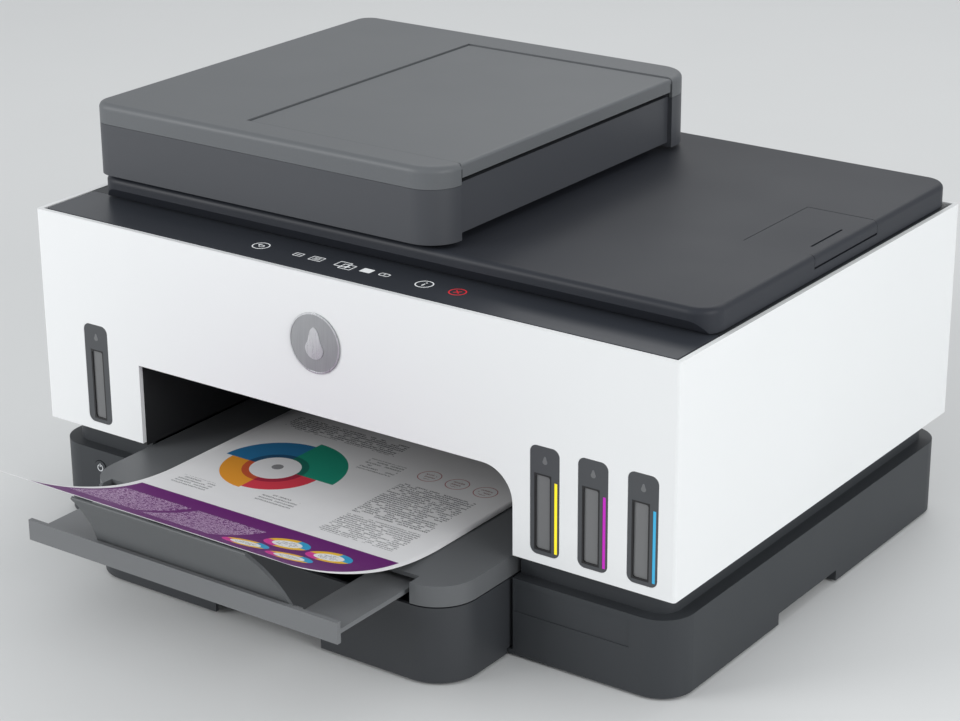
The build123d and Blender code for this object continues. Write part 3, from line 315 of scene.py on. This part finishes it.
# two overlapping pages, with a cross on the front one
page_frame(bm, -9.2, 1.0, 8.6, 7.6, 0.65)
page_frame(bm, -4.6, -1.4, 8.6, 7.6, 0.65)
bars(bm, -4.6, 0.6, ((-2.2, -1.4), (2.2, -1.4)), ((0, -3.6), (0, 0.8)))
# filled page
prism(bm, box_line(8.4, ICON_ROW, 7.2, 6.0, 0.6), *SKIN, strip_place)
# drum
page_frame(bm, 20.6, 0, 7.0, 4.4, 0.6, corners=(1.6, 1.1))
bars(bm, 20.6, 0.6, ((0, -1.0), (0, 1.0)))
# information mark
bars(bm, INFO_X, 0.8, ((0, -2.6), (0, 0.6)))
prism(bm, round_line(INFO_X, ICON_ROW + 2.3, 0.6, 12), *SKIN, strip_place)
finish_mesh(bm, "touch_symbols", lit_print("symbol_white", (0.80, 0.82, 0.83), 0.35),
            "scanner")

bm = bmesh.new()
key_ring(bm, CANCEL_X, 5.2, 4.4)
bars(bm, CANCEL_X, 0.8, ((-1.8, -1.8), (1.8, 1.8)), ((-1.8, 1.8), (1.8, -1.8)))
finish_mesh(bm, "cancel_symbol", lit_print("symbol_red", (0.55, 0.020, 0.030), 0.5), "scanner")

# --- Ink tanks ---------------------------------------------------------------------------------
# Smoky translucent tanks whose sight windows come forward through raised charcoal bezels. Each
# window is lined with a black frame of painted shade at the edge of its recess, and a coloured light guide
# runs beside the three colour tanks.
BEZEL_X = (-182.0, 143.2, 173.7, 204.6)           # middles of the four bezels, in mm
WINDOW_EDGES = ((-187.0, -177.0), (136.3, 147.3), (166.8, 177.8), (197.7, 208.7))
WINDOW_Z, WINDOW_HEIGHT = 92.9, 44.96
PAST_YELLOW, PAST_MAGENTA = 0.165, 0.196          # x between the light guides, in metres
tank = moulded("tank_smoke", (0.185, 0.188, 0.192), 0.36, drift=0.05, depth=0.00001)
tank.node_tree.nodes["Principled BSDF"].inputs["Transmission Weight"].default_value = 0.12
coat(tank, "ink_tanks")
coat(moulded("bezel_plastic", (0.062, 0.066, 0.072), 0.42, drift=0.05), "tank_bezels")
for name, colour in (("tank_cap_black", (0.015, 0.015, 0.016)), ("tank_cap_yellow", (0.78, 0.52, 0.02)),
                     ("tank_cap_magenta", (0.52, 0.02, 0.20)), ("tank_cap_cyan", (0.01, 0.26, 0.52))):
    coat(moulded(name + "_plastic", colour, 0.40), name)

# the three guides are one moulding in the model, coloured by where they stand
guide = lit_print("guide_light", (0.5, 0.5, 0.5), 0.55)
tree = guide.node_tree
shader = tree.nodes["Principled BSDF"]
at = add_node(tree, "TexCoord").outputs["Object"]
sideways = add_node(tree, "SeparateXYZ", {0: at}).outputs[0]
past_first = add_node(tree, "Math", {0: sideways, 1: PAST_YELLOW}, operation="GREATER_THAN").outputs[0]
past_second = add_node(tree, "Math", {0: sideways, 1: PAST_MAGENTA}, operation="GREATER_THAN").outputs[0]
warm = add_node(tree, "Mix", {0: past_first, 6: (0.80, 0.66, 0.02, 1), 7: (0.38, 0.010, 0.36, 1)},
                data_type="RGBA")
hue = add_node(tree, "Mix", {0: past_second, 6: warm.outputs[2], 7: (0.035, 0.30, 0.50, 1)},
               data_type="RGBA")
tree.links.new(hue.outputs[2], shader.inputs["Base Color"])
tree.links.new(hue.outputs[2], shader.inputs["Emission Color"])
coat(guide, "tank_light_strips")


def front_place(x, z, rise):
    """Point on the front panel, rise in front of it; millimetres in, metres out."""
    return Vector((x / 1000, FRONT - rise / 1000, z / 1000))


# the black frame lining each window is painted shade, where the edge of the recess falls dark
bm = bmesh.new()
for x0, x1 in WINDOW_EDGES:
    centre, width = (x0 + x1) / 2, x1 - x0 - 0.04
    band(bm, box_line(centre, WINDOW_Z, width, WINDOW_HEIGHT, 0.5),
         box_line(centre, WINDOW_Z, width - 1.9, WINDOW_HEIGHT - 1.86, 1.3), -1.15, -0.3, front_place)
finish_mesh(bm, "window_edge_shade", moulded("window_edge_shade_black", (0.010, 0.010, 0.011), 0.5), "chassis")


def drop_line(x, z, size, count=28):
    """Outline of a liquid drop, size tall."""
    points = []
    for i in range(count):
        turn = 2 * math.pi * i / count
        pinch = max(math.sin(turn), 0.0)
        radius = size * (0.34 + 0.32 * pinch ** 6)
        points.append((x + radius * math.cos(turn) * (1 - 0.25 * pinch),
                       z + radius * math.sin(turn) - size * 0.12))
    return points


bm = bmesh.new()
for x in BEZEL_X:
    prism(bm, drop_line(x, 123.4, 4.6), -0.22, -0.14, front_place)
finish_mesh(bm, "bezel_marks", moulded("mark_grey", (0.15, 0.155, 0.16), 0.4), "chassis")

# --- Badge on the front ------------------------------------------------------------------------
# A thin round plate in satin metallic grey, with a raised rim and a plain drop in place of a mark.
BADGE = (-11.6, 156.8)               # its middle on the front panel: x and height, in mm
badge = sheet_metal("badge_metal", (0.40, 0.41, 0.42), 0.34, (1400.0, 60.0, 60.0))
badge.node_tree.nodes["Principled BSDF"].inputs["Metallic"].default_value = 0.6
coat(badge, "front_badge")
bm = bmesh.new()
band(bm, round_line(*BADGE, 17.9, 96), round_line(*BADGE, 17.0, 96), 0.68, 0.95, front_place)
prism(bm, drop_line(BADGE[0], BADGE[1] - 0.8, 19.0, 64), 0.68, 1.1, front_place)
relief = sheet_metal("relief_metal", (0.78, 0.79, 0.80), 0.30, (1400.0, 60.0, 60.0))
finish_mesh(bm, "badge_relief", relief, "chassis")

# --- Power button ------------------------------------------------------------------------------
# A small round charcoal key in the corner of the base, with a ring and bar printed on it.
KEY = (-187.0, 36.6)                 # its middle: x and height, in mm
KEY_SIDES = 36
RING_GAP = range(7, 12)              # the sides left open at the top of the ring
bm = bmesh.new()
button_face = (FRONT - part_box("power_button")[0].y) * 1000
skin = (button_face + 0.004, button_face + 0.03)
outer, inner = round_line(*KEY, 2.3, KEY_SIDES), round_line(*KEY, 1.75, KEY_SIDES)
for i in range(KEY_SIDES):
    if i not in RING_GAP:
        j = (i + 1) % KEY_SIDES
        prism(bm, [inner[i], outer[i], outer[j], inner[j]], *skin, front_place)
stroke(bm, (KEY[0], KEY[1] + 0.6), (KEY[0], KEY[1] + 2.9), 0.55, *skin, front_place)
finish_mesh(bm, "power_symbol", lit_print("symbol_grey", (0.62, 0.64, 0.66), 0.15),
            "power_button")

# --- Sockets at the back -----------------------------------------------------------------------
# Gloss black mouldings for the mains lead, the data lead and two line plugs.
coat(moulded("socket_black", (0.014, 0.014, 0.015), 0.28, drift=0.08, depth=0.00001),
     "power_inlet", "interface_ports")

# --- Printed sheet -----------------------------------------------------------------------------
# One sheet of plain 80 gram paper fresh out of the printer. It lies flat in the tray, bends up
# over the tray's front edge and curls down to its front edge on the stop. One face is printed.
SHEET_WIDTH = 195.0
SHEET_LENGTH = 270.0
SHEET_LEFT = -113.0
REACH = 148.3                        # its front edge stands this far in front of the panel
REST = 60.06                         # height of its flat part
BEND_RADIUS, BEND_ANGLE = 200.0, math.radians(18.0)
CURL_RADIUS = 300.0
BEND_D = -10.0                       # where the bend starts, behind the panel
curl_d = BEND_D + (CURL_RADIUS - BEND_RADIUS) * math.sin(BEND_ANGLE)
curl_end = math.asin((curl_d + REACH) / CURL_RADIUS)
bent = BEND_RADIUS * BEND_ANGLE
flat = SHEET_LENGTH - bent - CURL_RADIUS * (curl_end - BEND_ANGLE)


def sheet_point(u, v):
    """Point u from the sheet's left edge and v from its front edge, in metres."""
    along = SHEET_LENGTH - v
    if along <= flat:
        d, z = BEND_D + flat - along, REST
    elif along <= flat + bent:
        turn = (along - flat) / BEND_RADIUS
        d, z = BEND_D - BEND_RADIUS * math.sin(turn), REST + BEND_RADIUS * (1 - math.cos(turn))
    else:
        turn = BEND_ANGLE + (along - flat - bent) / CURL_RADIUS
        d = curl_d - CURL_RADIUS * math.sin(turn)
        centre_z = REST + BEND_RADIUS + (CURL_RADIUS - BEND_RADIUS) * math.cos(BEND_ANGLE)
        z = centre_z - CURL_RADIUS * math.cos(turn)
    return Vector(((SHEET_LEFT + u) / 1000, FRONT + d / 1000, z / 1000))


COLUMNS, ROWS = 39, 108
bm = bmesh.new()
layer = bm.loops.layers.uv.new("page")
grid = [[bm.verts.new(sheet_point(SHEET_WIDTH * i / COLUMNS, SHEET_LENGTH * j / ROWS))
         for i in range(COLUMNS + 1)] for j in range(ROWS + 1)]
for j in range(ROWS):
    for i in range(COLUMNS):
        corners = ((i, j), (i + 1, j), (i + 1, j + 1), (i, j + 1))
        face = bm.faces.new([grid[b][a] for a, b in corners])
        face.smooth = True
        for loop, (a, b) in zip(face.loops, corners):
            loop[layer].uv = (SHEET_WIDTH / 1000 * a / COLUMNS, SHEET_LENGTH / 1000 * b / ROWS)
mesh = bpy.data.meshes.new("printed_page")
bm.to_mesh(mesh)
bm.free()
page = bpy.data.objects.new("printed_page", mesh)
bpy.context.scene.collection.objects.link(page)
thickness = page.modifiers.new("paper", "SOLIDIFY")
thickness.thickness = 0.00012
thickness.offset = 1.0
thickness.material_offset = 1
thickness.material_offset_rim = 1

# the print, laid down in page coordinates: u from the left edge, v from the front edge
ink = bpy.data.materials.new("printed_face")
ink.use_nodes = True
tree = ink.node_tree
shader = tree.nodes["Principled BSDF"]
page_at = add_node(tree, "UVMap", uv_map="page").outputs[0]
object_at = add_node(tree, "TexCoord").outputs["Object"]


def maths(operation, first, second=0.0):
    return add_node(tree, "Math", {0: first, 1: second}, operation=operation).outputs[0]


def inside(u0, u1, v0, v1):
    """1 inside a rectangle of the page, given in millimetres."""
    centre = ((u0 + u1) / 2000, (v0 + v1) / 2000, 0)
    half = ((u1 - u0) / 2000, (v1 - v0) / 2000, 1)
    away = add_node(tree, "VectorMath", {0: page_at, 1: centre}, operation="SUBTRACT").outputs[0]
    away = add_node(tree, "VectorMath", {0: away}, operation="ABSOLUTE").outputs[0]
    away = add_node(tree, "VectorMath", {0: away, 1: half}, operation="SUBTRACT").outputs[0]
    parts = add_node(tree, "SeparateXYZ", {0: away}).outputs
    return maths("LESS_THAN", maths("MAXIMUM", parts[0], parts[1]), 0.0)


def within(u, v, radius):
    """1 inside a circle of the page, given in millimetres."""
    gap = add_node(tree, "VectorMath", {0: page_at, 1: (u / 1000, v / 1000, 0)}, operation="DISTANCE")
    return maths("LESS_THAN", gap.outputs["Value"], radius / 1000)


def lay(under, mask, colour):
    """Cover what is under with a colour, or another layer, where the mask is 1."""
    mixed = add_node(tree, "Mix", {0: mask, 6: under}, data_type="RGBA")
    if isinstance(colour, bpy.types.NodeSocket):
        tree.links.new(colour, mixed.inputs[7])
    else:
        mixed.inputs[7].default_value = (*colour, 1)
    return mixed.outputs[2]


def text_lines(pitch, word, weight):
    """1 where small print falls: lines this far apart, broken into words and strokes."""
    parts = add_node(tree, "SeparateXYZ", {0: page_at}).outputs
    row = maths("DIVIDE", parts[1], pitch / 1000)
    on_line = maths("LESS_THAN", maths("FRACT", row), weight)
    spot = add_node(tree, "CombineXYZ", {0: maths("MULTIPLY", parts[0], 1000 / word),
                                         1: maths("MULTIPLY", maths("FLOOR", row), 5.3)}).outputs[0]
    words = add_node(tree, "TexNoise", {"Vector": spot, "Scale": 1.0, "Detail": 0.0}).outputs[0]
    marks = add_node(tree, "TexNoise", {"Vector": page_at, "Scale": 1500.0, "Detail": 0.0}).outputs[0]
    return maths("MULTIPLY", maths("MULTIPLY", on_line, maths("GREATER_THAN", words, 0.40)),
                 maths("GREATER_THAN", marks, 0.44))


fibre = add_node(tree, "TexNoise", {"Vector": object_at, "Scale": 1800.0, "Detail": 3.0}).outputs[0]
cloud = add_node(tree, "TexNoise", {"Vector": object_at, "Scale": 60.0, "Detail": 2.0}).outputs[0]
paper = add_node(tree, "Mix", {0: cloud, 6: (0.80, 0.80, 0.81, 1), 7: (0.86, 0.86, 0.865, 1)},
                 data_type="RGBA")
look = paper.outputs[2]
small_print = text_lines(2.3, 5.0, 0.55)
loose_print = text_lines(3.1, 7.0, 0.5)
# purple band across the front with two pale notes and four small ring charts
look = lay(look, inside(4, 191, 4, 115), (0.125, 0.002, 0.145))
for area in ((7, 57, 50, 98), (62, 112, 48, 98)):
    look = lay(look, maths("MULTIPLY", inside(*area), text_lines(1.7, 1.6, 0.75)), (0.60, 0.44, 0.62))
for u, v in ((135, 88), (164, 88), (130, 58), (160, 58)):
    look = lay(look, within(u, v, 13), (0.86, 0.52, 0.02))
    look = lay(look, maths("MULTIPLY", within(u, v, 13), inside(u, u + 14, v, v + 14)), (0.02, 0.35, 0.62))
    look = lay(look, maths("MULTIPLY", within(u, v, 13), inside(u - 14, u, v - 14, v)), (0.66, 0.03, 0.30))
    look = lay(look, within(u, v, 8.4), (0.84, 0.84, 0.85))
    look = lay(look, maths("MULTIPLY", within(u, v, 6), text_lines(2.9, 3.0, 0.5)), (0.30, 0.30, 0.32))
# large ring chart in four parts
CHART = (50, 180)
for left, right, low, high, colour, radius, dark in (
        (-45, 0, 0, 45, (0.020, 0.170, 0.360), 38, (0.012, 0.080, 0.170)),
        (0, 45, 0, 45, (0.010, 0.290, 0.190), 43, (0.006, 0.150, 0.110)),
        (-45, 0, -45, 0, (0.820, 0.330, 0.030), 33, (0.560, 0.090, 0.030)),
        (0, 45, -45, 0, (0.680, 0.045, 0.075), 31, (0.380, 0.020, 0.050))):
    area = inside(CHART[0] + left, CHART[0] + right, CHART[1] + low, CHART[1] + high)
    look = lay(look, maths("MULTIPLY", area, within(*CHART, radius)), colour)
    look = lay(look, maths("MULTIPLY", area, within(*CHART, 20)), dark)
look = lay(look, within(*CHART, 15.5), (0.80, 0.80, 0.81))
look = lay(look, within(CHART[0], CHART[1] + 2, 3.6), (0.25, 0.25, 0.26))
# title, notes beside the chart, the right column, and three thin rings above it
for area, colour, lines in (((12, 97, 233, 250), (0.10, 0.10, 0.11), small_print),
                            ((88, 114, 208, 224), (0.30, 0.30, 0.31), loose_print),
                            ((12, 38, 130, 143), (0.30, 0.30, 0.31), loose_print),
                            ((68, 94, 138, 151), (0.30, 0.30, 0.31), loose_print),
                            ((124, 177, 158, 206), (0.16, 0.16, 0.17), small_print),
                            ((124, 177, 127, 155), (0.26, 0.26, 0.27), small_print)):
    look = lay(look, maths("MULTIPLY", inside(*area), lines), colour)
for u in (132, 152, 172):
    ring = maths("SUBTRACT", within(u, 222, 7.4), within(u, 222, 6.8))
    look = lay(look, ring, (0.48, 0.20, 0.20))
    look = lay(look, maths("MULTIPLY", within(u, 222, 4.5), loose_print), (0.42, 0.30, 0.30))
tree.links.new(look, shader.inputs["Base Color"])
gloss = add_node(tree, "MapRange", {"Value": cloud, "To Min": 0.55, "To Max": 0.68})
tree.links.new(gloss.outputs[0], shader.inputs["Roughness"])
bump = add_node(tree, "Bump", {"Height": fibre, "Distance": 0.00002})
tree.links.new(bump.outputs[0], shader.inputs["Normal"])
mesh.materials.append(ink)
mesh.materials.append(moulded("paper_back", (0.80, 0.80, 0.81), 0.64, drift=0.03, grain=1800.0,
                              depth=0.00002))
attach(page, "sheet")
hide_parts("printed_sheet")
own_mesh(page)

# --- Floor, light and camera -------------------------------------------------------------------
# A plain pale floor, a large soft light over the front left, a weaker one on the right and a
# strip of light behind, in an evenly lit room.
bm = bmesh.new()
bmesh.ops.create_grid(bm, x_segments=1, y_segments=1, size=6.0)
mesh = bpy.data.meshes.new("studio_floor")
bm.to_mesh(mesh)
bm.free()
mesh.materials.append(moulded("floor_paper", (0.70, 0.71, 0.71), 0.8, drift=0.01, grain=300.0))
floor = bpy.data.objects.new("studio_floor", mesh)
bpy.context.scene.collection.objects.link(floor)

world = bpy.data.worlds.new("studio")
world.use_nodes = True
world.node_tree.nodes["Background"].inputs["Color"].default_value = (0.93, 0.95, 0.97, 1)
world.node_tree.nodes["Background"].inputs["Strength"].default_value = 0.62
bpy.context.scene.world = world
bpy.context.scene.view_settings.view_transform = "Standard"


def softbox(name, place, aim, size, power):
    light = bpy.data.lights.new(name, "AREA")
    light.shape = "RECTANGLE"
    light.size, light.size_y = size
    light.energy = power
    lamp = bpy.data.objects.new(name, light)
    lamp.location = place
    lamp.rotation_mode = "QUATERNION"
    lamp.rotation_quaternion = (Vector(aim) - Vector(place)).to_track_quat("-Z", "Y")
    bpy.context.scene.collection.objects.link(lamp)


softbox("key", (-1.5, -1.75, 0.95), (-0.1, 0, 0.1), (1.2, 1.2), 29)
softbox("right_fill", (1.9, -0.35, 0.8), (0, 0, 0.15), (1.2, 1.0), 17)
softbox("back_strip", (-0.2, 1.6, 1.5), (0, 0, 0.2), (1.8, 0.6), 8)

azimuth, elevation, roll = (math.radians(a) for a in (35.722, 21.214, -0.398))
back = Vector((math.sin(azimuth) * math.cos(elevation), -math.cos(azimuth) * math.cos(elevation),
               math.sin(elevation)))
right = Vector((math.cos(azimuth), math.sin(azimuth), 0))
up = back.cross(right)
turned_right = right * math.cos(roll) + up * math.sin(roll)
turned_up = up * math.cos(roll) - right * math.sin(roll)
AIM, DISTANCE = Vector((0.039399, 0.000566, 0.130)), 1.435465
position = AIM + back * DISTANCE
lens = bpy.data.cameras.new("camera")
lens.sensor_width = 36.0
lens.lens = 93.416
camera = bpy.data.objects.new("camera", lens)
camera.matrix_world = Matrix((
    (turned_right.x, turned_up.x, back.x, position.x),
    (turned_right.y, turned_up.y, back.y, position.y),
    (turned_right.z, turned_up.z, back.z, position.z),
    (0, 0, 0, 1)))
bpy.context.scene.collection.objects.link(camera)
bpy.context.scene.camera = camera

bpy.context.view_layer.update()
